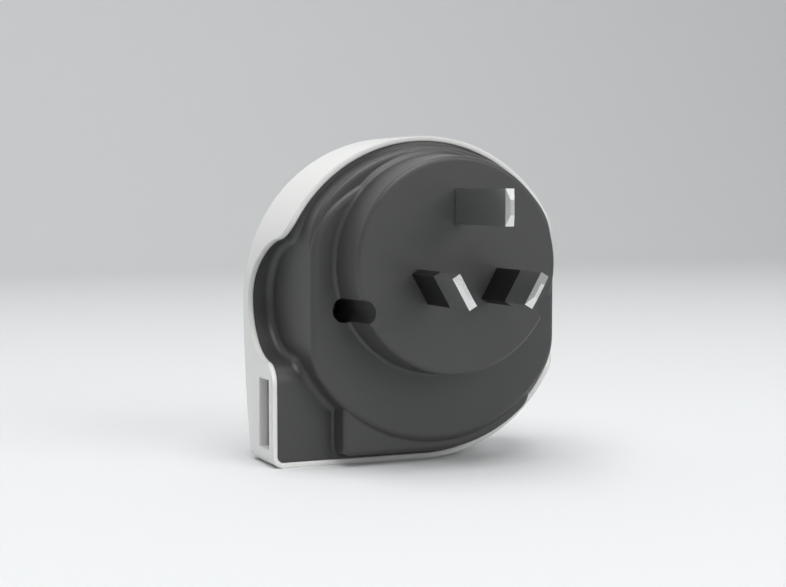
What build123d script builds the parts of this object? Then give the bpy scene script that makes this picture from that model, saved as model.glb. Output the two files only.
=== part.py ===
from build123d import *
import os
from math import cos, radians, sin, sqrt

os.makedirs("parts", exist_ok=True)

# USB travel adapter: an angled three-blade plug on a dark moulded base, a white domed cover with
# a multi-way socket at the rear, and a small USB charger board between them. Millimetres.
# The origin is the middle of the pin pattern on the plug face. X is to the right and Z up when
# the pins point at the viewer, and depth runs along +Y from the plug face to the rear.

# Plug pins
pin_width = 6.35
pin_thickness = 1.63
earth_offset = 10.31
live_offset = 7.92
live_turn = 30.0
earth_length = 20.5
live_length = 17.5
pin_root = 8.0
tip_length = 1.0
tip_edge_cut = 1.85
tip_face_cut = 0.45
sleeve_length = 9.0
sleeve_wall = 0.35
slot_gap = 0.05

# Raised plug face and the stepped crown behind it
face_radius = 19.7
face_drop = 0.3
face_wall = 2.0
plateau_depth = 9.05
plateau_margin = 3.05
plateau_rise = 1.03
flat_cut = 2.68
crown_swell = 3.35
crown_sink = 6.43
face_ledge = 1.4
drum_step = 0.95
drum_inset = 1.2
block_left = 18.2
block_right = 20.0
draft = 3.0
base_wall = 1.4
plateau_round = 1.3
face_round = 0.9
drum_round = 0.9
face_cove = 0.8
corner_blend = 12.5
ledge_blend = 2.0
block_blend = 4.0
block_corner = 1.5
block_foot = 0.6
foot_round = 1.4

# Outer shell and the parting line with its finger scoops
shell_radius = 30.4
top_margin = 4.0
corner_radius = 2.2
corner_least = 0.2
shell_wall = 1.8
lip_wall = 1.0
rim_depth = 14.7
port_height = 15.2
scoop_sink = 2.3
lip_radius = 4.0
body_depth = 36.0
dome_radius = 112.0
rear_round = 1.2
fit_gap = 0.1
seat_gap = 0.05

# Case screws
screw_margin = 6.22
screw_drop = 1.35
bore_diameter = 4.7
bore_depth = 20.0
boss_wall = 1.2
head_diameter = 4.3
head_height = 1.6
shank_diameter = 2.4
shank_length = 7.5
screw_gap = 0.2
pilot_length = 6.6
anchor_radius = 3.2
head_round = 0.5
recess_span = 2.6
recess_width = 0.6
recess_depth = 0.9

# Rear socket plate and the contacts behind it
socket_radius = 21.4
plate_thickness = 2.0
plate_recess = 0.9
ledge_width = 2.9
ledge_thickness = 1.6
ring_wall = 1.6
live_line_drop = 9.0
round_spacing = 19.0
round_hole = 5.2
bar_spacing = 22.2
bar_width = 6.8
flat_spacing = 12.7
flat_width = 1.9
flat_height = 7.0
earth_bar_rise = 22.2
earth_bar_width = 4.5
earth_bar_height = 8.4
earth_round_rise = 11.9
slot_chamfer = 0.4
plate_round = 0.4
jaw_trim = 0.3
jaw_split = 0.25
earth_jaw_margin = 0.2
contact_sheet = 0.6
contact_depth = 12.0
contact_reach = 15.0
jaw_gap = 4.7
flat_jaw_gap = 2.0
tongue_width = 4.5
tongue_start = 5.2
tab_width = 2.0
carrier_radius = 15.5
carrier_thickness = 3.0

# USB receptacle and the charger board
usb_width = 12.5
usb_height = 5.12
usb_sheet = 0.3
usb_length = 11.0
usb_rise = 9.65
usb_setback = 4.6
usb_slot_gap = 0.15
tongue_thickness = 1.84
tongue_span = 11.1
tongue_length = 8.6
back_block = 1.5
usb_tongue_shift = 0.5
usb_contact_width = 1.0
usb_contact_sheet = 0.2
usb_contact_length = 7.8
usb_contact_places = (-3.5, -1.0, 1.0, 3.5)
board_thickness = 1.6
board_height = 13.2
board_gap = 0.3
post_radius = 1.5

# Charger components, placed by X and by height above the board's lower edge. The resistor and the
# first post are placed from the board's left end.
core_width = 13.0
core_height = 10.4
core_thickness = 4.6
core_limb = 2.3
core_leg = 3.8
winding_depth = 9.2
winding_round = 1.2
transformer_place = (-2.0, 7.1)
input_can_diameter = 6.3
input_can_height = 9.4
input_can_place = (8.7, 6.6)
output_can_diameter = 5.0
output_can_height = 7.6
output_can_place = (14.2, 10.3)
can_groove = 0.35
can_round = 0.5
crimp_height = 1.0
crimp_width = 0.6
active_tab_place = (-11.5, 11.4)
neutral_tab_place = (9.6, 11.4)
rectifier_size = (4.7, 3.9, 1.5)
rectifier_place = (6.0, 6.6)
chip_size = (4.9, 3.9, 1.5)
chip_place = (-4.0, 5.0)
resistor_diameter = 2.8
resistor_length = 8.0
resistor_place = (11.3, 5.5)
resistor_round = 0.6
resistor_lead = 1.2
lead_sheet = 0.2
lead_width = 0.6
lead_reach = 1.0
left_post_place = (4.3, 2.6)
right_post_place = (12.6, 7.6)

# Depths and heights that follow from the sizes above
shell_drop = shell_radius - face_radius + face_drop - top_margin
plateau_radius = shell_radius - plateau_margin
plateau_drop = shell_drop - plateau_rise
crown_radius = plateau_radius + crown_swell
crown_drop = plateau_drop + crown_sink
flat_half = plateau_radius - flat_cut
drum_depth = plateau_depth + drum_step
scoop_depth = rim_depth + scoop_sink
scoop_reach = shell_radius - port_height
scoop_radius = sqrt(scoop_reach ** 2 + (lip_radius - scoop_sink) ** 2) - lip_radius
far_depth = scoop_depth + scoop_radius + base_wall
flange_inset = lip_wall + fit_gap
drum_radius = shell_radius - lip_wall - drum_inset
shell_bottom = -shell_drop - shell_radius
socket_bore = socket_radius + fit_gap
dome_drop = dome_radius - sqrt(dome_radius ** 2 - socket_bore ** 2)
plate_rear = body_depth - dome_drop - plate_recess
plate_front = plate_rear - plate_thickness
live_line = -shell_drop - live_line_drop
boss_radius = bore_diameter / 2 + boss_wall
boss_end = bore_depth + base_wall
usb_depth = rim_depth + usb_setback
usb_centre = shell_bottom + usb_rise
usb_mouth = -(shell_radius - shell_wall) + seat_gap
board_front = usb_depth + usb_height / 2 + usb_sheet
board_rear = board_front + board_thickness
board_inset = shell_wall + board_gap
board_bottom = shell_bottom + board_inset
board_left = board_inset - shell_radius
resistor_across = board_left + resistor_place[0]
post_places = ((board_left + left_post_place[0], left_post_place[1]), right_post_place)
core_window = (core_width - core_leg - 2 * core_limb) / 2
winding_height = core_height - 2 * core_limb
core_front = board_front - (winding_depth + core_thickness) / 2
transformer_across = transformer_place[0]
transformer_level = board_bottom + transformer_place[1]
tongue_base = usb_mouth + usb_length - back_block
usb_contact_depth = usb_depth + usb_tongue_shift - (tongue_thickness + usb_contact_sheet) / 2
tongue_shift = (pin_thickness + contact_sheet) / 2
jaw_outer = jaw_gap + 2 * contact_sheet
flat_jaw_outer = flat_jaw_gap + 2 * contact_sheet
jaw_start = (flat_spacing - flat_jaw_outer) / 2
bar_jaw_start = (flat_spacing + flat_jaw_outer) / 2 + jaw_split
jaw_end = (bar_spacing + bar_width) / 2 - jaw_trim
bar_length = (bar_spacing + bar_width - round_spacing) / 2
earth_slot_length = earth_bar_rise - earth_round_rise + earth_bar_height / 2
earth_jaw_bottom = live_line + earth_round_rise - round_hole / 2 - earth_jaw_margin
earth_jaw_top = live_line + earth_bar_rise + earth_bar_height / 2 + earth_jaw_margin
earth_plate_top = max(earth_offset + tongue_width / 2, earth_jaw_top)
wide = 4 * shell_radius
screw_side = flat_half - screw_margin
screw_level = -shell_drop - screw_drop
screw_places = ((-screw_side, screw_level), (screw_side, screw_level))


def at_depth(depth):
    """Plane parallel to the plug face, drawn as seen from the plug side."""
    return Plane.XZ.offset(-depth)


def shell_outline(inset):
    """Round outline of the case with one square lower corner."""
    radius = shell_radius - inset
    with BuildSketch() as outline:
        with Locations((0, -shell_drop)):
            Circle(radius)
            Rectangle(radius, radius, align=(Align.MAX, Align.MAX))
        corner = outline.vertices().sort_by(Axis((0, 0, 0), (1, 1, 0)))[0]
        fillet(corner, max(corner_radius - inset, corner_least))
    return outline.sketch


def behind_parting(shift):
    """Side view of all that lies behind the parting line, with its finger scoop."""
    with BuildSketch() as side:
        with Locations((rim_depth + shift, -shell_drop)):
            Rectangle(wide, wide, align=(Align.MIN, Align.CENTER))
        with Locations((scoop_depth, -shell_drop)):
            Circle(scoop_radius + shift, mode=Mode.SUBTRACT)
        lips = side.vertices().group_by(Axis.X)[0].sort_by(Axis.Y)[1:-1]
        fillet(lips, lip_radius - shift)
    return side.sketch


def plateau_outline(inset):
    """Crown step under the plug face: round below, flat at the sides, flatter above."""
    half = flat_half - inset
    ledge_radius = face_radius + face_ledge - inset
    with BuildSketch() as upper:
        with Locations((0, -crown_drop)):
            Circle(crown_radius - inset)
        Rectangle(wide, wide, align=(Align.CENTER, Align.MIN), mode=Mode.INTERSECT)
    with BuildSketch() as outline:
        with Locations((0, -plateau_drop)):
            Circle(plateau_radius - inset)
        Rectangle(wide, wide, align=(Align.CENTER, Align.MAX), mode=Mode.INTERSECT)
        add(upper.sketch)
        Rectangle(2 * half, wide, mode=Mode.INTERSECT)
        offset(amount=inset - corner_blend, mode=Mode.REPLACE)
        offset(amount=corner_blend - inset, kind=Kind.ARC, mode=Mode.REPLACE)
        with Locations((0, -face_drop)):
            Circle(ledge_radius)
        offset(amount=ledge_blend, kind=Kind.ARC, mode=Mode.REPLACE)
        offset(amount=-ledge_blend, kind=Kind.ARC, mode=Mode.REPLACE)
    return outline.sketch


def drum_outline(inset):
    """Upper crescent of the crown, one step below the plateau."""
    half = flat_half - inset
    with BuildSketch() as outline:
        with Locations((0, -shell_drop)):
            Circle(drum_radius - inset)
        Rectangle(2 * half, wide, mode=Mode.INTERSECT)
        offset(amount=inset - corner_blend, mode=Mode.REPLACE)
        offset(amount=corner_blend - inset, kind=Kind.ARC, mode=Mode.REPLACE)
        Rectangle(wide, wide, align=(Align.CENTER, Align.MIN), mode=Mode.INTERSECT)
    return outline.sketch


def block_outline(inset):
    """Lower block of the crown, which makes room for the charger."""
    radius = drum_radius - inset
    left = -block_left + inset
    right = block_right - inset
    with BuildSketch() as outline:
        with Locations((0, -shell_drop)):
            Circle(radius)
            Rectangle(radius, radius, align=(Align.MAX, Align.MAX))
        with Locations((left, -shell_drop)):
            Rectangle(right - left, wide, align=(Align.MIN, Align.MAX), mode=Mode.INTERSECT)
        right_end = outline.vertices().group_by(Axis.X)[-1].sort_by(Axis.Y)[0]
        fillet(right_end, block_blend - inset)
        left_end = outline.vertices().group_by(Axis.X)[0].sort_by(Axis.Y)[0]
        fillet(left_end, max(block_corner - inset, corner_least))
    return outline.sketch


def blade_plane(blade, depth):
    """Plane across a blade at a depth: local x through its thickness, local y along its width."""
    across, up, turn = blade
    return Plane(
        origin=(across, depth, up),
        x_dir=(cos(radians(turn)), 0, sin(radians(turn))),
        z_dir=(0, -1, 0),
    )


def live_blade(turn):
    """Place and turn of a live blade on the pin circle."""
    return (live_offset * cos(radians(turn)), live_offset * sin(radians(turn)), turn)


earth_blade = (0, earth_offset, 0)
active_blade = live_blade(180 + live_turn)
neutral_blade = live_blade(-live_turn)
blades = (earth_blade, active_blade, neutral_blade)


def is_round(edge, drop):
    """Circle centred a given drop below the pin centre."""
    return edge.geom_type == GeomType.CIRCLE and abs(edge.arc_center.Z + drop) < seat_gap


# Upper crescent, lower block and flange of the dark base
with BuildPart() as drum:
    with BuildSketch(at_depth(drum_depth)):
        add(drum_outline(0))
    extrude(amount=drum_depth - far_depth, taper=-draft)
    fillet(drum.faces().sort_by(Axis.Y)[0].edges().filter_by(GeomType.CIRCLE), drum_round)

with BuildPart() as block:
    with BuildSketch(at_depth(drum_depth)):
        add(block_outline(0))
    extrude(amount=drum_depth - far_depth, taper=-draft)
    fillet(block.faces().sort_by(Axis.Y)[0].edges().sort_by(Axis.Z)[:-1], drum_round)

with BuildPart() as flange:
    with BuildSketch(at_depth(0)):
        add(shell_outline(flange_inset))
    extrude(amount=-far_depth)
    with BuildSketch(Plane.YZ):
        add(behind_parting(0))
    extrude(amount=wide, both=True, mode=Mode.INTERSECT)

# Room inside the base, less the two screw bosses
with BuildPart() as hollow:
    with BuildSketch(at_depth(face_wall)):
        with Locations((0, -face_drop)):
            Circle(face_radius - base_wall)
    extrude(amount=face_wall - rim_depth, taper=-draft)
    with BuildSketch(at_depth(plateau_depth + base_wall)):
        add(plateau_outline(base_wall))
    extrude(amount=plateau_depth + base_wall - far_depth, taper=-draft)
    with BuildSketch(at_depth(drum_depth + base_wall)):
        add(drum_outline(base_wall))
    extrude(amount=drum_depth + base_wall - far_depth, taper=-draft)
    with BuildSketch(at_depth(drum_depth + base_wall)):
        add(block_outline(base_wall))
    extrude(amount=drum_depth + base_wall - far_depth, taper=-draft)
    with BuildSketch(at_depth(0)):
        with Locations(*screw_places):
            Circle(boss_radius)
    extrude(amount=-boss_end, mode=Mode.SUBTRACT)

# Dark base: plug face, crown steps, flange at the parting line, pin slots and screw bores
with BuildPart() as plug_base:
    with BuildSketch(at_depth(plateau_depth)):
        add(plateau_outline(0))
    extrude(amount=plateau_depth - far_depth, taper=-draft)
    fillet(plug_base.faces().sort_by(Axis.Y)[0].edges(), plateau_round)
    with BuildSketch(at_depth(0)):
        with Locations((0, -face_drop)):
            Circle(face_radius)
    extrude(amount=-rim_depth, taper=-draft)
    fillet(plug_base.faces().sort_by(Axis.Y)[0].edges(), face_round)
    step_edges = plug_base.edges().filter_by_position(
        Axis.Y, plateau_depth - seat_gap, plateau_depth + seat_gap
    )
    foot_edges = step_edges.filter_by(lambda edge: is_round(edge, face_drop))
    fillet(foot_edges.sort_by(SortBy.RADIUS)[0], face_cove)
    add(flange.part)
    fillet(plug_base.edges(Select.NEW), foot_round)
    add(drum.part)
    add(block.part)
    block_edges = plug_base.edges(Select.NEW).filter_by_position(
        Axis.Y, rim_depth - seat_gap, rim_depth + seat_gap
    )
    fillet(block_edges, block_foot)
    with BuildSketch(Plane.YZ):
        add(behind_parting(base_wall))
    extrude(amount=wide, both=True, mode=Mode.SUBTRACT)
    add(hollow.part, mode=Mode.SUBTRACT)
    with BuildSketch(at_depth(0)):
        with Locations(*screw_places):
            Circle(bore_diameter / 2)
    extrude(amount=-bore_depth, mode=Mode.SUBTRACT)
    with BuildSketch(at_depth(0)):
        with Locations(*screw_places):
            Circle(shank_diameter / 2 + screw_gap)
    extrude(amount=-boss_end, mode=Mode.SUBTRACT)
    for blade in blades:
        with BuildSketch(blade_plane(blade, 0)):
            Rectangle(pin_thickness + 2 * slot_gap, pin_width + 2 * slot_gap)
        extrude(amount=-face_wall, mode=Mode.SUBTRACT)
plug_base.part.label = "plug_base"
export_step(plug_base.part, "parts/plug_base.step")


# Insulating sleeves and the three plug pins
def sleeve_ring(blade):
    """Flush sleeve round the root half of a live blade."""
    with BuildPart() as ring:
        with BuildSketch(blade_plane(blade, face_wall)):
            Rectangle(pin_thickness, pin_width)
            Rectangle(pin_thickness - 2 * sleeve_wall, pin_width - 2 * sleeve_wall, mode=Mode.SUBTRACT)
        extrude(amount=face_wall + sleeve_length)
    return ring.part


def blade_solid(blade, length):
    """Flat blade from its root to a tip bevelled on all four sides."""
    with BuildPart() as solid:
        with BuildSketch(blade_plane(blade, pin_root)):
            Rectangle(pin_thickness, pin_width)
        extrude(amount=pin_root + length - tip_length)
        with BuildSketch(blade_plane(blade, tip_length - length)):
            Rectangle(pin_thickness, pin_width)
        with BuildSketch(blade_plane(blade, -length)):
            Rectangle(pin_thickness - 2 * tip_face_cut, pin_width - 2 * tip_edge_cut)
        loft()
    return solid.part


with BuildPart() as active_sleeve:
    add(sleeve_ring(active_blade))
active_sleeve.part.label = "active_sleeve"
export_step(active_sleeve.part, "parts/active_sleeve.step")

with BuildPart() as neutral_sleeve:
    add(sleeve_ring(neutral_blade))
neutral_sleeve.part.label = "neutral_sleeve"
export_step(neutral_sleeve.part, "parts/neutral_sleeve.step")

with BuildPart() as active_pin:
    add(blade_solid(active_blade, live_length))
    add(active_sleeve.part, mode=Mode.SUBTRACT)
active_pin.part.label = "active_pin"
export_step(active_pin.part, "parts/active_pin.step")

with BuildPart() as neutral_pin:
    add(blade_solid(neutral_blade, live_length))
    add(neutral_sleeve.part, mode=Mode.SUBTRACT)
neutral_pin.part.label = "neutral_pin"
export_step(neutral_pin.part, "parts/neutral_pin.step")

with BuildPart() as earth_pin:
    add(blade_solid(earth_blade, earth_length))
earth_pin.part.label = "earth_pin"
export_step(earth_pin.part, "parts/earth_pin.step")

# Moulded carrier that holds the three pins behind the plug face
with BuildPart() as pin_carrier:
    with BuildSketch(at_depth(face_wall)):
        with Locations((0, -face_drop)):
            Circle(carrier_radius)
        with Locations(*screw_places):
            Circle(boss_radius + fit_gap, mode=Mode.SUBTRACT)
    extrude(amount=-carrier_thickness)
    for blade in blades:
        with BuildSketch(blade_plane(blade, face_wall)):
            Rectangle(pin_thickness + 2 * slot_gap, pin_width + 2 * slot_gap)
        extrude(amount=-carrier_thickness, mode=Mode.SUBTRACT)
pin_carrier.part.label = "pin_carrier"
export_step(pin_carrier.part, "parts/pin_carrier.step")


# Socket contacts: a tongue on each pin, a flat plate, and jaws behind the socket openings
def contact_tongue(blade):
    """Strip that runs back from the outer face of a blade to the contact plate."""
    with BuildPart() as strip:
        with BuildSketch(blade_plane(blade, contact_depth)):
            with Locations((tongue_shift, 0)):
                Rectangle(contact_sheet, tongue_width)
        extrude(amount=contact_depth - tongue_start)
    return strip.part


def live_contact(blade, side, tab_place):
    """Contact with jaws for round or bar pins and for flat pins, and a tab to the board."""
    turn = radians(blade[2])
    tongue_reach = live_offset + tongue_shift
    tab_across, tab_rise = tab_place
    tab_level = board_bottom + tab_rise
    with BuildPart() as contact:
        add(contact_tongue(blade))
        with BuildSketch(at_depth(contact_depth)):
            with Locations((tongue_reach * cos(turn), tongue_reach * sin(turn))):
                Rectangle(contact_sheet, tongue_width, rotation=blade[2])
            with Locations((side * (jaw_start + jaw_end) / 2, live_line)):
                Rectangle(jaw_end - jaw_start, jaw_outer)
            make_hull()
        extrude(amount=-contact_sheet)
        with BuildSketch(at_depth(contact_depth)):
            with Locations((side * flat_spacing / 2, live_line)):
                Rectangle(flat_jaw_outer, jaw_outer)
                Rectangle(flat_jaw_gap, jaw_outer, mode=Mode.SUBTRACT)
            with Locations((side * (bar_jaw_start + jaw_end) / 2, live_line)):
                Rectangle(jaw_end - bar_jaw_start, jaw_outer)
                Rectangle(jaw_end - bar_jaw_start, jaw_gap, mode=Mode.SUBTRACT)
        extrude(amount=-contact_reach)
        with BuildSketch(at_depth(contact_depth)):
            with Locations((tab_across, tab_level)):
                Rectangle(tab_width, live_line - tab_level, align=(Align.CENTER, Align.MIN))
        extrude(amount=-contact_sheet)
        with BuildSketch(at_depth(contact_depth)):
            with Locations((tab_across, tab_level)):
                Rectangle(tab_width, contact_sheet, align=(Align.CENTER, Align.MIN))
        extrude(amount=contact_depth - board_front)
    return contact.part


with BuildPart() as active_contact:
    add(live_contact(active_blade, -1, active_tab_place))
active_contact.part.label = "active_contact"
export_step(active_contact.part, "parts/active_contact.step")

with BuildPart() as neutral_contact:
    add(live_contact(neutral_blade, 1, neutral_tab_place))
neutral_contact.part.label = "neutral_contact"
export_step(neutral_contact.part, "parts/neutral_contact.step")

with BuildPart() as earth_contact:
    add(contact_tongue(earth_blade))
    with BuildSketch(at_depth(contact_depth)):
        with Locations((0, earth_jaw_bottom)):
            Rectangle(jaw_outer, earth_plate_top - earth_jaw_bottom, align=(Align.CENTER, Align.MIN))
    extrude(amount=-contact_sheet)
    with BuildSketch(at_depth(contact_depth)):
        with Locations((0, (earth_jaw_bottom + earth_jaw_top) / 2)):
            Rectangle(jaw_outer, earth_jaw_top - earth_jaw_bottom)
            Rectangle(jaw_gap, earth_jaw_top - earth_jaw_bottom, mode=Mode.SUBTRACT)
    extrude(amount=-contact_reach)
earth_contact.part.label = "earth_contact"
export_step(earth_contact.part, "parts/earth_contact.step")


# White cover: domed shell with the socket pocket, screw bosses, board posts and the USB slot
def dome_solid(inset):
    """Ball whose rear cap is the dome of the cover."""
    with BuildPart() as ball:
        with Locations((0, body_depth - dome_radius, -shell_drop)):
            Sphere(dome_radius - inset)
    return ball.part


with BuildPart() as cover_room:
    with BuildSketch(at_depth(0)):
        add(shell_outline(shell_wall))
    extrude(amount=-body_depth)
    add(dome_solid(shell_wall), mode=Mode.INTERSECT)

with BuildPart() as base_seat:
    with BuildSketch(at_depth(0)):
        add(shell_outline(lip_wall))
    extrude(amount=-body_depth)
    with BuildSketch(Plane.YZ):
        add(behind_parting(base_wall + seat_gap))
    extrude(amount=wide, both=True, mode=Mode.SUBTRACT)

with BuildPart() as cover_supports:
    with BuildSketch(at_depth(plate_front - ledge_thickness)):
        with Locations((0, -shell_drop)):
            Circle(socket_bore + ring_wall)
            Circle(socket_bore - ledge_width, mode=Mode.SUBTRACT)
    extrude(amount=-(ledge_thickness + plate_thickness))
    with BuildSketch(at_depth(boss_end + seat_gap)):
        with Locations(*screw_places):
            Circle(anchor_radius)
    extrude(amount=boss_end + seat_gap - plate_front)
    with BuildSketch(at_depth(board_rear)):
        with Locations(*((across, board_bottom + rise) for across, rise in post_places)):
            Circle(post_radius)
    extrude(amount=board_rear - body_depth)
    add(dome_solid(shell_wall / 2), mode=Mode.INTERSECT)

with BuildPart() as rear_cover:
    with BuildSketch(at_depth(0)):
        add(shell_outline(0))
    extrude(amount=-body_depth)
    add(dome_solid(0), mode=Mode.INTERSECT)
    fillet(rear_cover.faces().filter_by(GeomType.SPHERE)[0].edges(), rear_round)
    with BuildSketch(Plane.YZ):
        add(behind_parting(0))
    extrude(amount=wide, both=True, mode=Mode.INTERSECT)
    add(cover_room.part, mode=Mode.SUBTRACT)
    add(base_seat.part, mode=Mode.SUBTRACT)
    add(cover_supports.part)
    with BuildSketch(at_depth(plate_front)):
        with Locations((0, -shell_drop)):
            Circle(socket_bore)
    extrude(amount=plate_front - body_depth, mode=Mode.SUBTRACT)
    with BuildSketch(at_depth(boss_end)):
        with Locations(*screw_places):
            Circle(shank_diameter / 2 + seat_gap)
    extrude(amount=-pilot_length, mode=Mode.SUBTRACT)
    with BuildSketch(Plane.YZ.offset(-shell_radius)):
        with Locations((usb_depth, usb_centre)):
            Rectangle(usb_height + 2 * usb_slot_gap, usb_width + 2 * usb_slot_gap)
    extrude(amount=shell_wall, mode=Mode.SUBTRACT)
rear_cover.part.label = "rear_cover"
export_step(rear_cover.part, "parts/rear_cover.step")

# Socket plate with one shared opening for each live pin and one for the earth pin
with BuildPart() as socket_plate:
    with BuildSketch(at_depth(plate_rear)):
        with Locations((0, -shell_drop)):
            Circle(socket_radius)
    extrude(amount=plate_thickness)
    with BuildSketch(at_depth(plate_rear)):
        with Locations((-round_spacing / 2, live_line), (round_spacing / 2, live_line)):
            Circle(round_hole / 2)
        with Locations((-round_spacing / 2, live_line)):
            Rectangle(bar_length, round_hole, align=(Align.MAX, Align.CENTER))
        with Locations((round_spacing / 2, live_line)):
            Rectangle(bar_length, round_hole, align=(Align.MIN, Align.CENTER))
        with Locations((-flat_spacing / 2, live_line), (flat_spacing / 2, live_line)):
            Rectangle(flat_width, flat_height)
        with Locations((0, live_line + earth_round_rise)):
            Circle(round_hole / 2)
            Rectangle(earth_bar_width, earth_slot_length, align=(Align.CENTER, Align.MIN))
    extrude(amount=plate_thickness, mode=Mode.SUBTRACT)
    rear_edges = socket_plate.faces().sort_by(Axis.Y)[-1].edges()
    fillet(rear_edges.filter_by(lambda edge: is_round(edge, shell_drop)), plate_round)
    opening_edges = socket_plate.faces().sort_by(Axis.Y)[-1].inner_wires()
    chamfer([edge for wire in opening_edges for edge in wire.edges()], slot_chamfer)
socket_plate.part.label = "socket_plate"
export_step(socket_plate.part, "parts/socket_plate.step")

# USB receptacle: folded shell, moulded tongue and its four contacts
with BuildPart() as usb_shell:
    with BuildSketch(Plane.YZ.offset(usb_mouth)):
        with Locations((usb_depth, usb_centre)):
            Rectangle(usb_height + 2 * usb_sheet, usb_width + 2 * usb_sheet)
            Rectangle(usb_height, usb_width, mode=Mode.SUBTRACT)
    extrude(amount=usb_length)
usb_shell.part.label = "usb_shell"
export_step(usb_shell.part, "parts/usb_shell.step")

with BuildPart() as usb_tongue:
    with BuildSketch(Plane.YZ.offset(usb_mouth + usb_length)):
        with Locations((usb_depth, usb_centre)):
            Rectangle(usb_height, usb_width)
    extrude(amount=-back_block)
    with BuildSketch(Plane.YZ.offset(tongue_base)):
        with Locations((usb_depth + usb_tongue_shift, usb_centre)):
            Rectangle(tongue_thickness, tongue_span)
    extrude(amount=-tongue_length)
usb_tongue.part.label = "usb_tongue"
export_step(usb_tongue.part, "parts/usb_tongue.step")

with BuildPart() as usb_contacts:
    with BuildSketch(Plane.YZ.offset(tongue_base)):
        with Locations(*((usb_contact_depth, usb_centre + rise) for rise in usb_contact_places)):
            Rectangle(usb_contact_sheet, usb_contact_width)
    extrude(amount=-usb_contact_length)
usb_contacts.part.label = "usb_contacts"
export_step(usb_contacts.part, "parts/usb_contacts.step")

# Charger board across the lower part of the case
with BuildPart() as circuit_board:
    with BuildSketch(at_depth(board_front)):
        add(shell_outline(board_inset))
        with Locations((0, board_bottom + board_height)):
            Rectangle(wide, wide, align=(Align.CENTER, Align.MAX), mode=Mode.INTERSECT)
    extrude(amount=-board_thickness)
circuit_board.part.label = "circuit_board"
export_step(circuit_board.part, "parts/circuit_board.step")

# Transformer: two-window core with its winding on the middle leg
with BuildPart() as transformer_core:
    with BuildSketch(at_depth(core_front)):
        with Locations((transformer_across, transformer_level)):
            Rectangle(core_width, core_height)
            with GridLocations(core_leg + core_window, 0, 2, 1):
                Rectangle(core_window, winding_height, mode=Mode.SUBTRACT)
    extrude(amount=-core_thickness)
transformer_core.part.label = "transformer_core"
export_step(transformer_core.part, "parts/transformer_core.step")

with BuildPart() as transformer_winding:
    with BuildSketch(at_depth(board_front)):
        with Locations((transformer_across, transformer_level)):
            Rectangle(core_leg + 2 * core_window, winding_height)
    extrude(amount=winding_depth)
    fillet(transformer_winding.edges().filter_by(Axis.Z), winding_round)
    add(transformer_core.part, mode=Mode.SUBTRACT)
transformer_winding.part.label = "transformer_winding"
export_step(transformer_winding.part, "parts/transformer_winding.step")


# Components on the front of the board
def can_solid(place, diameter, height):
    """Round capacitor can standing on the board, crimped near its foot."""
    across, rise = place
    with BuildPart() as can:
        with BuildSketch(at_depth(board_front)):
            with Locations((across, board_bottom + rise)):
                Circle(diameter / 2)
        extrude(amount=height)
        fillet(can.edges().sort_by(Axis.Y)[0], can_round)
        with BuildSketch(at_depth(board_front - crimp_height)):
            with Locations((across, board_bottom + rise)):
                Circle(diameter / 2)
                Circle(diameter / 2 - can_groove, mode=Mode.SUBTRACT)
        extrude(amount=crimp_width, mode=Mode.SUBTRACT)
    return can.part


with BuildPart() as input_capacitor:
    add(can_solid(input_can_place, input_can_diameter, input_can_height))
input_capacitor.part.label = "input_capacitor"
export_step(input_capacitor.part, "parts/input_capacitor.step")

with BuildPart() as output_capacitor:
    add(can_solid(output_can_place, output_can_diameter, output_can_height))
output_capacitor.part.label = "output_capacitor"
export_step(output_capacitor.part, "parts/output_capacitor.step")


# Components on the rear of the board
def chip_solid(place, size):
    """Moulded chip with a row of flat leads down each side."""
    across, rise = place
    length, width, height = size
    with BuildPart() as chip:
        with BuildSketch(at_depth(board_rear + lead_sheet)):
            with Locations((across, board_bottom + rise)):
                Rectangle(length, width)
        extrude(amount=lead_sheet - height)
        with BuildSketch(at_depth(board_rear)):
            with Locations((across, board_bottom + rise)):
                with GridLocations(length / 2, 0, 2, 1):
                    Rectangle(lead_width, width + 2 * lead_reach)
        extrude(amount=-2 * lead_sheet)
    return chip.part


with BuildPart() as bridge_rectifier:
    add(chip_solid(rectifier_place, rectifier_size))
bridge_rectifier.part.label = "bridge_rectifier"
export_step(bridge_rectifier.part, "parts/bridge_rectifier.step")

with BuildPart() as control_chip:
    add(chip_solid(chip_place, chip_size))
control_chip.part.label = "control_chip"
export_step(control_chip.part, "parts/control_chip.step")

with BuildPart() as fusible_resistor:
    resistor_axis = (board_rear + resistor_diameter / 2, board_bottom + resistor_place[1])
    with BuildSketch(Plane.YZ.offset(resistor_across)):
        with Locations(resistor_axis):
            Circle(resistor_diameter / 2)
    extrude(amount=resistor_length / 2, both=True)
    fillet(fusible_resistor.edges().filter_by(GeomType.CIRCLE), resistor_round)
    with BuildSketch(Plane.YZ.offset(resistor_across)):
        with Locations(resistor_axis):
            Circle(lead_width / 2)
    extrude(amount=resistor_length / 2 + resistor_lead, both=True)
    with BuildSketch(at_depth(board_rear)):
        with Locations((resistor_across, board_bottom + resistor_place[1])):
            with GridLocations(resistor_length + 2 * resistor_lead, 0, 2, 1):
                Rectangle(lead_width, lead_width)
    extrude(amount=-resistor_diameter / 2)
fusible_resistor.part.label = "fusible_resistor"
export_step(fusible_resistor.part, "parts/fusible_resistor.step")

# Two cross-recess screws that draw the cover onto the base
with BuildPart() as case_screws:
    with BuildSketch(at_depth(bore_depth)):
        with Locations(*screw_places):
            Circle(head_diameter / 2)
    extrude(amount=head_height)
    fillet(case_screws.faces().sort_by(Axis.Y)[0:2].edges(), head_round)
    with BuildSketch(at_depth(bore_depth)):
        with Locations(*screw_places):
            Circle(shank_diameter / 2)
    extrude(amount=-shank_length)
    with BuildSketch(at_depth(bore_depth - head_height)):
        with Locations(*screw_places):
            Rectangle(recess_span, recess_width)
            Rectangle(recess_width, recess_span)
    extrude(amount=-recess_depth, mode=Mode.SUBTRACT)
case_screws.part.label = "case_screws"
export_step(case_screws.part, "parts/case_screws.step")
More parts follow.
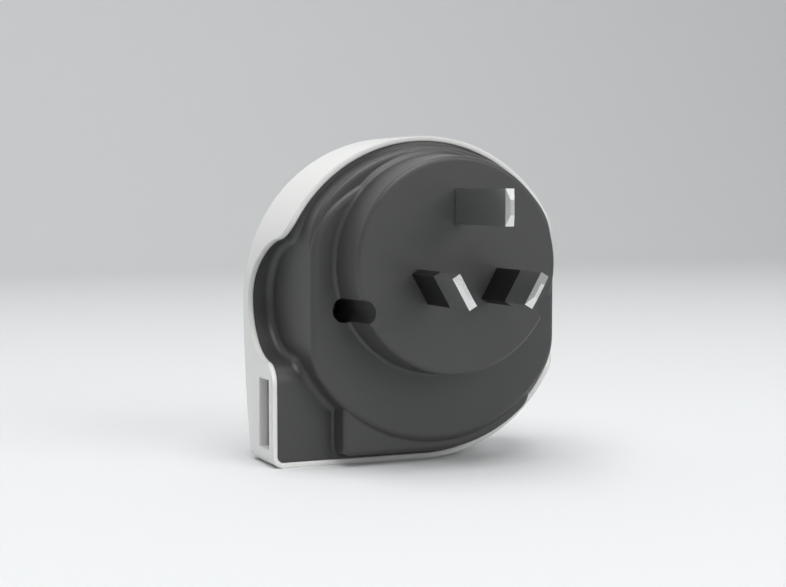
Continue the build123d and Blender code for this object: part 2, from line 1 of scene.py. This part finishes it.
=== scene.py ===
import math

import bmesh
import bpy
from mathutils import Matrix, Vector


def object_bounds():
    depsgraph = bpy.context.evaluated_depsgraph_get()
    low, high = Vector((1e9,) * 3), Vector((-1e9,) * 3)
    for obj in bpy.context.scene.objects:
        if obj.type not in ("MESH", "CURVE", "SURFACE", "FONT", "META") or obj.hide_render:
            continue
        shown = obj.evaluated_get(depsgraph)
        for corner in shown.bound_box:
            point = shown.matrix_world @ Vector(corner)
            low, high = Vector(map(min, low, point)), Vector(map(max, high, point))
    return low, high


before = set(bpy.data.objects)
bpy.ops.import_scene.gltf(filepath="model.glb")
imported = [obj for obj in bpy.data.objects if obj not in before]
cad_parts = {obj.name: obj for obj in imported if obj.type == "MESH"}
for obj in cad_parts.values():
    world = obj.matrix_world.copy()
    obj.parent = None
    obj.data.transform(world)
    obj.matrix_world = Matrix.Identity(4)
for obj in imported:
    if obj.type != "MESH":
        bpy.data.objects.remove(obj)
cad_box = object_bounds()


# Plug pins. Three flat blades stamped from brass strip and plated with bright nickel, their tips
# ground to four bevels. They are pushed into the carrier and welded to the contact strips.
MM = 0.001
BLADE_COLOUR = "#e0e1e1"
BLADE_STREAK = 0.12 * MM
BLADE_STREAK_LENGTH = 12.0 * MM
BLADE_STREAK_DEPTH = 0.01 * MM
BLADE_STREAK_OCTAVES = 3.0
BLADE_RELIEF = 0.05
BLADE_SMOOTHEST, BLADE_ROUGHEST = 0.2, 0.28


def linear(hex_code):
    """Linear colour, with alpha, of an sRGB hex code."""
    values = [int(hex_code[i:i + 2], 16) / 255 for i in (1, 3, 5)]
    return [v / 12.92 if v <= 0.04045 else ((v + 0.055) / 1.055) ** 2.4 for v in values] + [1.0]


def add_node(material, kind, settings, links):
    """Adds one node, sets its inputs or properties, and links its inputs to other sockets."""
    node = material.node_tree.nodes.new(kind)
    for name, value in settings.items():
        if name in node.inputs:
            node.inputs[name].default_value = value
        else:
            setattr(node, name, value)
    for name, socket in links.items():
        material.node_tree.links.new(socket, node.inputs[name])
    return node


def new_material(name):
    """Material with an empty node tree."""
    material = bpy.data.materials.new(name)
    material.use_nodes = True
    material.node_tree.nodes.clear()
    return material


def finish_nodes(names, material):
    """Gives CAD nodes a finish."""
    for name in names:
        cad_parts[name].data.materials.clear()
        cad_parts[name].data.materials.append(material)


# Bright nickel plate: a clear mirror that rolling streaks along the strip soften a little.
nickel = new_material("bright_nickel_plate")
place = add_node(nickel, "ShaderNodeTexCoord", {}, {})
stretch = add_node(
    nickel, "ShaderNodeMapping",
    {"Scale": (1 / BLADE_STREAK, 1 / BLADE_STREAK_LENGTH, 1 / BLADE_STREAK)},
    {"Vector": place.outputs["Object"]})
streaks = add_node(
    nickel, "ShaderNodeTexNoise", {"Scale": 1.0, "Detail": BLADE_STREAK_OCTAVES},
    {"Vector": stretch.outputs["Vector"]})
gloss = add_node(
    nickel, "ShaderNodeMapRange", {"To Min": BLADE_SMOOTHEST, "To Max": BLADE_ROUGHEST},
    {"Value": streaks.outputs["Fac"]})
relief = add_node(
    nickel, "ShaderNodeBump", {"Strength": BLADE_RELIEF, "Distance": BLADE_STREAK_DEPTH},
    {"Height": streaks.outputs["Fac"]})
metal = add_node(
    nickel, "ShaderNodeBsdfPrincipled", {"Base Color": linear(BLADE_COLOUR), "Metallic": 1.0},
    {"Roughness": gloss.outputs["Result"], "Normal": relief.outputs["Normal"]})
add_node(nickel, "ShaderNodeOutputMaterial", {}, {"Surface": metal.outputs["BSDF"]})
finish_nodes(["earth_pin", "active_pin", "neutral_pin"], nickel)


# Pin sleeves. Black polyester moulded flush round the root half of the two live blades, so that no
# bare metal shows while the plug is partly drawn. The pin carrier and the tongue of the USB
# receptacle are moulded in the same plastic.
SLEEVE_COLOUR = "#060606"
SLEEVE_GRAIN = 0.25 * MM
SLEEVE_GRAIN_DEPTH = 0.02 * MM
SLEEVE_GRAIN_OCTAVES = 2.0
SLEEVE_RELIEF = 0.3
SLEEVE_SMOOTHEST, SLEEVE_ROUGHEST = 0.52, 0.64
SLEEVE_IOR = 1.57
SLEEVE_SHINE = 0.3

# Moulded polyester: almost black, with a soft sheen that the grain breaks up.
polyester = new_material("moulded_black_polyester")
place = add_node(polyester, "ShaderNodeTexCoord", {}, {})
grain = add_node(
    polyester, "ShaderNodeTexNoise", {"Scale": 1 / SLEEVE_GRAIN, "Detail": SLEEVE_GRAIN_OCTAVES},
    {"Vector": place.outputs["Object"]})
gloss = add_node(
    polyester, "ShaderNodeMapRange", {"To Min": SLEEVE_SMOOTHEST, "To Max": SLEEVE_ROUGHEST},
    {"Value": grain.outputs["Fac"]})
relief = add_node(
    polyester, "ShaderNodeBump", {"Strength": SLEEVE_RELIEF, "Distance": SLEEVE_GRAIN_DEPTH},
    {"Height": grain.outputs["Fac"]})
plastic = add_node(
    polyester, "ShaderNodeBsdfPrincipled",
    {"Base Color": linear(SLEEVE_COLOUR), "IOR": SLEEVE_IOR, "Specular IOR Level": SLEEVE_SHINE},
    {"Roughness": gloss.outputs["Result"], "Normal": relief.outputs["Normal"]})
add_node(polyester, "ShaderNodeOutputMaterial", {}, {"Surface": plastic.outputs["BSDF"]})
finish_nodes(["active_sleeve", "neutral_sleeve", "pin_carrier", "usb_tongue"], polyester)


# Contact strips. Sheet brass, stamped and folded, from the pins to the jaws behind the socket and to
# the board. They show only through the openings of the socket plate. The four contacts on the USB
# tongue are of the same sheet.
STRIP_COLOUR = "#b8935a"
STRIP_TARNISH = "#8f6f42"
STRIP_PATCH = 2.5 * MM
STRIP_PATCH_OCTAVES = 4.0
STRIP_SMOOTHEST, STRIP_ROUGHEST = 0.26, 0.42

# Rolled brass: warm metal, dulled in patches by handling.
brass = new_material("rolled_brass_strip")
place = add_node(brass, "ShaderNodeTexCoord", {}, {})
patches = add_node(
    brass, "ShaderNodeTexNoise", {"Scale": 1 / STRIP_PATCH, "Detail": STRIP_PATCH_OCTAVES},
    {"Vector": place.outputs["Object"]})
tone = add_node(brass, "ShaderNodeValToRGB", {}, {"Fac": patches.outputs["Fac"]})
tone.color_ramp.elements[0].color = linear(STRIP_TARNISH)
tone.color_ramp.elements[1].color = linear(STRIP_COLOUR)
gloss = add_node(
    brass, "ShaderNodeMapRange", {"To Min": STRIP_ROUGHEST, "To Max": STRIP_SMOOTHEST},
    {"Value": patches.outputs["Fac"]})
metal = add_node(
    brass, "ShaderNodeBsdfPrincipled", {"Metallic": 1.0},
    {"Base Color": tone.outputs["Color"], "Roughness": gloss.outputs["Result"]})
add_node(brass, "ShaderNodeOutputMaterial", {}, {"Surface": metal.outputs["BSDF"]})
finish_nodes(["earth_contact", "active_contact", "neutral_contact", "usb_contacts"], brass)


# Plug base. One moulding in charcoal ABS with the plug face, the stepped crown and the flange that
# meets the cover. Its tool was spark-finished, which leaves a fine even grain. The socket plate at
# the rear is moulded the same way.
BASE_COLOUR = "#404040"
BASE_SHADE = "#3b3b3b"
BASE_GRAIN = 0.16 * MM
BASE_GRAIN_DEPTH = 0.02 * MM
BASE_GRAIN_OCTAVES = 3.0
BASE_PATCH = 14.0 * MM
BASE_PATCH_OCTAVES = 2.0
BASE_RELIEF = 0.35
BASE_SMOOTHEST, BASE_ROUGHEST = 0.38, 0.46
ABS_IOR = 1.53

# Spark-finished ABS: satin charcoal. The real grain is about half as coarse, drawn here so it shows.
charcoal = new_material("spark_finished_charcoal_abs")
place = add_node(charcoal, "ShaderNodeTexCoord", {}, {})
grain = add_node(
    charcoal, "ShaderNodeTexNoise", {"Scale": 1 / BASE_GRAIN, "Detail": BASE_GRAIN_OCTAVES},
    {"Vector": place.outputs["Object"]})
patches = add_node(
    charcoal, "ShaderNodeTexNoise", {"Scale": 1 / BASE_PATCH, "Detail": BASE_PATCH_OCTAVES},
    {"Vector": place.outputs["Object"]})
tone = add_node(charcoal, "ShaderNodeValToRGB", {}, {"Fac": patches.outputs["Fac"]})
tone.color_ramp.elements[0].color = linear(BASE_SHADE)
tone.color_ramp.elements[1].color = linear(BASE_COLOUR)
gloss = add_node(
    charcoal, "ShaderNodeMapRange", {"To Min": BASE_SMOOTHEST, "To Max": BASE_ROUGHEST},
    {"Value": grain.outputs["Fac"]})
relief = add_node(
    charcoal, "ShaderNodeBump", {"Strength": BASE_RELIEF, "Distance": BASE_GRAIN_DEPTH},
    {"Height": grain.outputs["Fac"]})
plastic = add_node(
    charcoal, "ShaderNodeBsdfPrincipled", {"IOR": ABS_IOR},
    {"Base Color": tone.outputs["Color"], "Roughness": gloss.outputs["Result"],
     "Normal": relief.outputs["Normal"]})
add_node(charcoal, "ShaderNodeOutputMaterial", {}, {"Surface": plastic.outputs["BSDF"]})
finish_nodes(["plug_base", "socket_plate"], charcoal)


# Charger board. Glass-fibre laminate under green lacquer, across the lower corner of the case, with
# its transformer and cans on the plug side and the small parts on the socket side.
BOARD_COLOUR = "#1f5a35"
BOARD_SHADE = "#184a2b"
BOARD_WEAVE = 0.5 * MM
BOARD_ROUGHNESS = 0.28
BOARD_IOR = 1.55

# Lacquered laminate: glossy green with the weave of the glass cloth just showing through.
laminate = new_material("lacquered_glass_laminate")
place = add_node(laminate, "ShaderNodeTexCoord", {}, {})
weave = add_node(
    laminate, "ShaderNodeTexChecker",
    {"Scale": 1 / BOARD_WEAVE, "Color1": linear(BOARD_COLOUR), "Color2": linear(BOARD_SHADE)},
    {"Vector": place.outputs["Object"]})
plastic = add_node(
    laminate, "ShaderNodeBsdfPrincipled", {"Roughness": BOARD_ROUGHNESS, "IOR": BOARD_IOR},
    {"Base Color": weave.outputs["Color"]})
add_node(laminate, "ShaderNodeOutputMaterial", {}, {"Surface": plastic.outputs["BSDF"]})
finish_nodes(["circuit_board"], laminate)


# Board components. A ferrite transformer core with a taped winding, two sleeved cans, two moulded
# chips and a lacquered resistor, all soldered to the board and closed in by the case.
COMPONENT_PATCH_OCTAVES = 2.0
# Each finish has its colour, the darker shade in its patches, its roughness and the patches' size.
COMPONENT_FINISHES = {
    "sintered_ferrite": ("#3a3a3d", "#2c2c2f", 0.62, 0.4 * MM, ["transformer_core"]),
    "polyester_tape": ("#d3a52c", "#b98d1f", 0.3, 1.6 * MM, ["transformer_winding"]),
    "sleeved_can": ("#22262e", "#1b1e25", 0.25, 3.0 * MM, ["input_capacitor", "output_capacitor"]),
    "moulded_epoxy": ("#202122", "#18191a", 0.58, 0.2 * MM, ["bridge_rectifier", "control_chip"]),
    "lacquered_ceramic": ("#7fa08c", "#6b8b78", 0.35, 1.0 * MM, ["fusible_resistor"]),
}

for name, (colour, shade, roughness, patch_size, nodes) in COMPONENT_FINISHES.items():
    component = new_material(name)
    place = add_node(component, "ShaderNodeTexCoord", {}, {})
    patches = add_node(
        component, "ShaderNodeTexNoise", {"Scale": 1 / patch_size, "Detail": COMPONENT_PATCH_OCTAVES},
        {"Vector": place.outputs["Object"]})
    tone = add_node(component, "ShaderNodeValToRGB", {}, {"Fac": patches.outputs["Fac"]})
    tone.color_ramp.elements[0].color = linear(shade)
    tone.color_ramp.elements[1].color = linear(colour)
    body = add_node(
        component, "ShaderNodeBsdfPrincipled", {"Roughness": roughness},
        {"Base Color": tone.outputs["Color"]})
    add_node(component, "ShaderNodeOutputMaterial", {}, {"Surface": body.outputs["BSDF"]})
    finish_nodes(nodes, component)


# USB receptacle shell and case screws. The shell is folded from tinned steel and soldered to the
# board behind the slot. The screws are plated steel, at the bottom of their bores.
SHELL_COLOUR = "#7c7e81"
SHELL_MOTTLE = 0.6 * MM
SHELL_MOTTLE_OCTAVES = 4.0
SHELL_SMOOTHEST, SHELL_ROUGHEST = 0.24, 0.46

# Tinned steel: grey metal with the soft mottle of the tin.
tinned = new_material("tinned_steel")
place = add_node(tinned, "ShaderNodeTexCoord", {}, {})
mottle = add_node(
    tinned, "ShaderNodeTexNoise", {"Scale": 1 / SHELL_MOTTLE, "Detail": SHELL_MOTTLE_OCTAVES},
    {"Vector": place.outputs["Object"]})
gloss = add_node(
    tinned, "ShaderNodeMapRange", {"To Min": SHELL_SMOOTHEST, "To Max": SHELL_ROUGHEST},
    {"Value": mottle.outputs["Fac"]})
metal = add_node(
    tinned, "ShaderNodeBsdfPrincipled", {"Base Color": linear(SHELL_COLOUR), "Metallic": 1.0},
    {"Roughness": gloss.outputs["Result"]})
add_node(tinned, "ShaderNodeOutputMaterial", {}, {"Surface": metal.outputs["BSDF"]})
finish_nodes(["usb_shell", "case_screws"], tinned)


# Rear cover. A white ABS moulding with a polished outside, which holds the socket plate in a round
# pocket and takes the two case screws in bosses. The base drops into a lip along its front edge.
COVER_COLOUR = "#e6e6e4"
COVER_WAVE = 7.0 * MM
COVER_WAVE_DEPTH = 0.05 * MM
COVER_WAVE_OCTAVES = 1.0
COVER_HAZE = 0.5 * MM
COVER_HAZE_OCTAVES = 3.0
COVER_RELIEF = 0.1
COVER_SMOOTHEST, COVER_ROUGHEST = 0.2, 0.26
COVER_EDGE = 0.6 * MM
COVER_EDGE_SAMPLES = 8

# Polished white ABS: a clear gloss over a very slight waviness from the moulding shrinking. Its edges
# take the light softly, because the mould leaves them a little round.
white = new_material("polished_white_abs")
place = add_node(white, "ShaderNodeTexCoord", {}, {})
waves = add_node(
    white, "ShaderNodeTexNoise", {"Scale": 1 / COVER_WAVE, "Detail": COVER_WAVE_OCTAVES},
    {"Vector": place.outputs["Object"]})
haze = add_node(
    white, "ShaderNodeTexNoise", {"Scale": 1 / COVER_HAZE, "Detail": COVER_HAZE_OCTAVES},
    {"Vector": place.outputs["Object"]})
gloss = add_node(
    white, "ShaderNodeMapRange", {"To Min": COVER_SMOOTHEST, "To Max": COVER_ROUGHEST},
    {"Value": haze.outputs["Fac"]})
edges = add_node(white, "ShaderNodeBevel", {"samples": COVER_EDGE_SAMPLES, "Radius": COVER_EDGE}, {})
relief = add_node(
    white, "ShaderNodeBump", {"Strength": COVER_RELIEF, "Distance": COVER_WAVE_DEPTH},
    {"Height": waves.outputs["Fac"], "Normal": edges.outputs["Normal"]})
plastic = add_node(
    white, "ShaderNodeBsdfPrincipled", {"Base Color": linear(COVER_COLOUR), "IOR": ABS_IOR},
    {"Roughness": gloss.outputs["Result"], "Normal": relief.outputs["Normal"]})
add_node(white, "ShaderNodeOutputMaterial", {}, {"Surface": plastic.outputs["BSDF"]})
finish_nodes(["rear_cover"], white)


# Studio. A pale paper sweep that curves up behind the part, a large soft lamp above, another farther
# off in front to the right, and the camera close in front to the left. Lengths are in metres.
SWEEP_COLOUR = "#e3e5e6"
SWEEP_ROUGHNESS = 0.9
SWEEP_HALF = 4.0
SWEEP_FRONT = -4.0
SWEEP_BACK = 0.7
SWEEP_BEND = 0.5
SWEEP_RISE = 1.6
BEND_STEPS = 24
GLOW_START = 0.2
GLOW_FULL = 0.55
GLOW_STRENGTH = 1.0

floor_level = cad_box[0].z
sweep_mesh = bpy.data.meshes.new("sweep")
bm = bmesh.new()
front_edge = [bm.verts.new((x, SWEEP_FRONT, floor_level)) for x in (-SWEEP_HALF, SWEEP_HALF)]
edge = [bm.edges.new(front_edge)]
grown = bmesh.ops.extrude_edge_only(bm, edges=edge)["geom"]
bmesh.ops.translate(
    bm, verts=[g for g in grown if isinstance(g, bmesh.types.BMVert)],
    vec=(0, SWEEP_BACK - SWEEP_FRONT, 0))
bend = bmesh.ops.spin(
    bm, geom=[g for g in grown if not isinstance(g, bmesh.types.BMFace)],
    cent=(0, SWEEP_BACK, floor_level + SWEEP_BEND), axis=(1, 0, 0), angle=math.pi / 2, steps=BEND_STEPS)
grown = bmesh.ops.extrude_edge_only(
    bm, edges=[g for g in bend["geom_last"] if isinstance(g, bmesh.types.BMEdge)])["geom"]
bmesh.ops.translate(
    bm, verts=[g for g in grown if isinstance(g, bmesh.types.BMVert)], vec=(0, 0, SWEEP_RISE))
bmesh.ops.remove_doubles(bm, verts=bm.verts, dist=MM)
bmesh.ops.recalc_face_normals(bm, faces=bm.faces)
for face in bm.faces:
    face.smooth = True
bm.to_mesh(sweep_mesh)
bm.free()
sweep = bpy.data.objects.new("sweep", sweep_mesh)
bpy.context.collection.objects.link(sweep)

# Matt paper: an even pale grey with no shine. High up it turns white to the camera and to
# reflections alone, so the glossy top edges of the part mirror a white wall and get no more light.
paper = new_material("matt_paper")
matt = add_node(
    paper, "ShaderNodeBsdfPrincipled",
    {"Base Color": linear(SWEEP_COLOUR), "Roughness": SWEEP_ROUGHNESS}, {})
white_wall = add_node(paper, "ShaderNodeEmission", {"Strength": GLOW_STRENGTH}, {})
place = add_node(paper, "ShaderNodeTexCoord", {}, {})
height = add_node(paper, "ShaderNodeSeparateXYZ", {}, {"Vector": place.outputs["Object"]})
glow = add_node(
    paper, "ShaderNodeMapRange",
    {"interpolation_type": "SMOOTHSTEP", "From Min": GLOW_START, "From Max": GLOW_FULL},
    {"Value": height.outputs["Z"]})
rays = add_node(paper, "ShaderNodeLightPath", {}, {})
seen = add_node(
    paper, "ShaderNodeMath", {"operation": "MAXIMUM"},
    {0: rays.outputs["Is Camera Ray"], 1: rays.outputs["Is Glossy Ray"]})
share = add_node(
    paper, "ShaderNodeMath", {"operation": "MULTIPLY"}, {0: seen.outputs["Value"], 1: glow.outputs["Result"]})
surface = add_node(
    paper, "ShaderNodeMixShader", {},
    {0: share.outputs["Value"], 1: matt.outputs["BSDF"], 2: white_wall.outputs["Emission"]})
add_node(paper, "ShaderNodeOutputMaterial", {}, {"Surface": surface.outputs["Shader"]})
sweep_mesh.materials.append(paper)

# Each lamp has its place, its width and its power in watts. Both point near the middle of the case.
PART_MIDDLE = Vector((-0.005, 0.015, -0.007))
LAMPS = {
    "top_lamp": ((-0.1, -0.14, 0.85), 0.75, 6.7),
    "front_lamp": ((0.75, -1.27, 0.82), 1.05, 8.6),
}
for name, (position, size, power) in LAMPS.items():
    lamp = bpy.data.lights.new(name, "AREA")
    lamp.size = size
    lamp.energy = power
    lamp_object = bpy.data.objects.new(name, lamp)
    lamp_object.location = position
    lamp_object.rotation_euler = (PART_MIDDLE - Vector(position)).to_track_quat("-Z", "Y").to_euler()
    bpy.context.collection.objects.link(lamp_object)

AIR_COLOUR = "#ffffff"
AIR_STRENGTH = 0.36
world = bpy.data.worlds.new("studio_air")
world.use_nodes = True
world.node_tree.nodes["Background"].inputs["Color"].default_value = linear(AIR_COLOUR)
world.node_tree.nodes["Background"].inputs["Strength"].default_value = AIR_STRENGTH
bpy.context.scene.world = world

CAMERA_PLACE = Vector((-0.12232, -0.25294, 0.01291))
CAMERA_AIM = Vector((-0.01288, 0.0, -0.00495))
CAMERA_LENS = 71.76
camera = bpy.data.cameras.new("camera")
camera.lens = CAMERA_LENS
camera_object = bpy.data.objects.new("camera", camera)
camera_object.location = CAMERA_PLACE
camera_object.rotation_euler = (CAMERA_AIM - CAMERA_PLACE).to_track_quat("-Z", "Y").to_euler()
bpy.context.collection.objects.link(camera_object)
bpy.context.scene.camera = camera_object
bpy.context.scene.view_settings.view_transform = "Standard"
